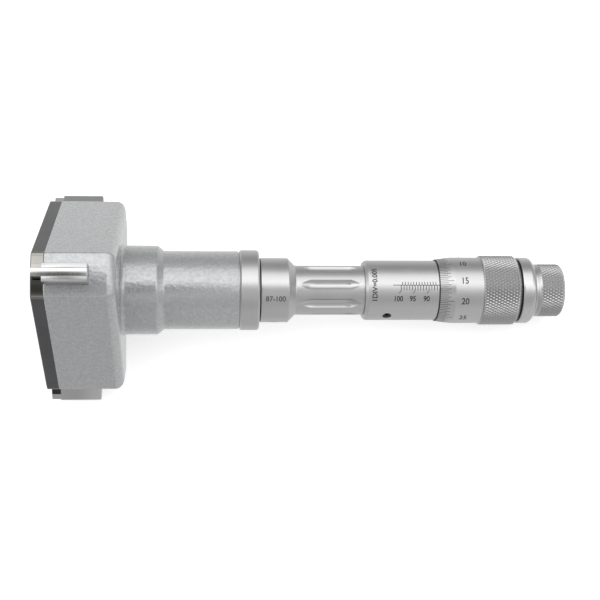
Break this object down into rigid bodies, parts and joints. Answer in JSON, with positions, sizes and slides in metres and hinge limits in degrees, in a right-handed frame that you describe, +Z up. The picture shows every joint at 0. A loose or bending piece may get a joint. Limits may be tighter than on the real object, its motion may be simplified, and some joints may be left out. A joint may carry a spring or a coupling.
{
  "type": "inside micrometer",
  "caption": "Bore micrometer with sliding anvils spread by an inner cone, flat-sided cast head, fluted grip, graduated sleeve, thimble and ratchet stop.",
  "frame": {"origin": "on the table under the middle of the tool, which lies on the rounded rear edge of one long side of its head and on the rear edge of the knurled band", "axes": "+X along the tool from its head to its ratchet, seen from above; +Z up, with the first anvil upwards; the tool axis slopes down by 4.68 degrees towards the ratchet; +Y completes the frame"},
  "size_m": [0.1888, 0.0764, 0.0691],
  "materials": {
    "hammertone": "hammertone grey enamel on a casting",
    "plate_steel": "dark ground steel",
    "anvil_steel": "ground hardened steel",
    "hard_metal": "ground and lapped hard metal",
    "satin_chrome": "satin chrome with engraved black scale",
    "bright_steel": "turned and polished steel",
    "black_steel": "black oxide",
    "spring_steel": "drawn spring wire and strip",
    "bronze": "turned bronze"
  },
  "bodies": {
    "frame": {"head_casting": "hammertone", "front_plate": "plate_steel", "front_plate_screws": "black_steel", "guide_bush": "bronze", "coupling_ring": "satin_chrome", "grip_body": "satin_chrome", "graduated_sleeve": "satin_chrome", "sleeve_grub_screw": "black_steel", "spindle_nut": "bronze", "adjusting_nut": "bright_steel", "return_spring_1": "spring_steel", "return_spring_2": "spring_steel", "return_spring_3": "spring_steel", "rod_spring": "spring_steel"},
    "cone": {"measuring_cone": "bright_steel", "push_rod": "bright_steel", "thrust_ball": "bright_steel"},
    "thimble": {"spindle": "bright_steel", "thimble": "satin_chrome", "thimble_washer": "black_steel", "ratchet_disc": "bright_steel", "ratchet_screw": "bright_steel"},
    "ratchet": {"ratchet_body": "bright_steel", "ratchet_knob": "satin_chrome", "ratchet_pawl": "bright_steel", "ratchet_spring": "spring_steel"},
    "anvil_1": {"anvil_1": "anvil_steel", "contact_strip_1": "hard_metal"},
    "anvil_2": {"anvil_2": "anvil_steel", "contact_strip_2": "hard_metal"},
    "anvil_3": {"anvil_3": "anvil_steel", "contact_strip_3": "hard_metal"}
  },
  "joints": [
    {"name": "cone_slide", "type": "slide", "parent": "frame", "child": "cone", "axis": [-0.9967, 0, 0.0809], "range_m": [0, 0.014], "deforming": ["rod_spring"]},
    {"name": "thimble_spin", "type": "hinge", "parent": "cone", "child": "thimble", "pos_m": [0.05706, 0, 0.01409], "axis": [-0.9967, 0, 0.0809], "range_deg": [0, 10080]},
    {"name": "ratchet_spin", "type": "hinge", "parent": "thimble", "child": "ratchet", "pos_m": [0.08297, 0, 0.01199], "axis": [-0.9967, 0, 0.0809], "continuous": true},
    {"name": "anvil_1_slide", "type": "slide", "parent": "frame", "child": "anvil_1", "axis": [0.0809, 0, 0.9967], "range_m": [0, 0.007], "deforming": ["return_spring_1"]},
    {"name": "anvil_2_slide", "type": "slide", "parent": "frame", "child": "anvil_2", "axis": [-0.0404, 0.866, -0.4984], "range_m": [0, 0.007], "deforming": ["return_spring_2"]},
    {"name": "anvil_3_slide", "type": "slide", "parent": "frame", "child": "anvil_3", "axis": [-0.0404, -0.866, -0.4984], "range_m": [0, 0.007], "deforming": ["return_spring_3"]}
  ],
  "couplings": [
    {"joint": "thimble_spin", "follows": "cone_slide", "rad_per_m": 12566},
    {"joint": "anvil_1_slide", "follows": "cone_slide", "ratio": 0.5},
    {"joint": "anvil_2_slide", "follows": "cone_slide", "ratio": 0.5},
    {"joint": "anvil_3_slide", "follows": "cone_slide", "ratio": 0.5}
  ]
}
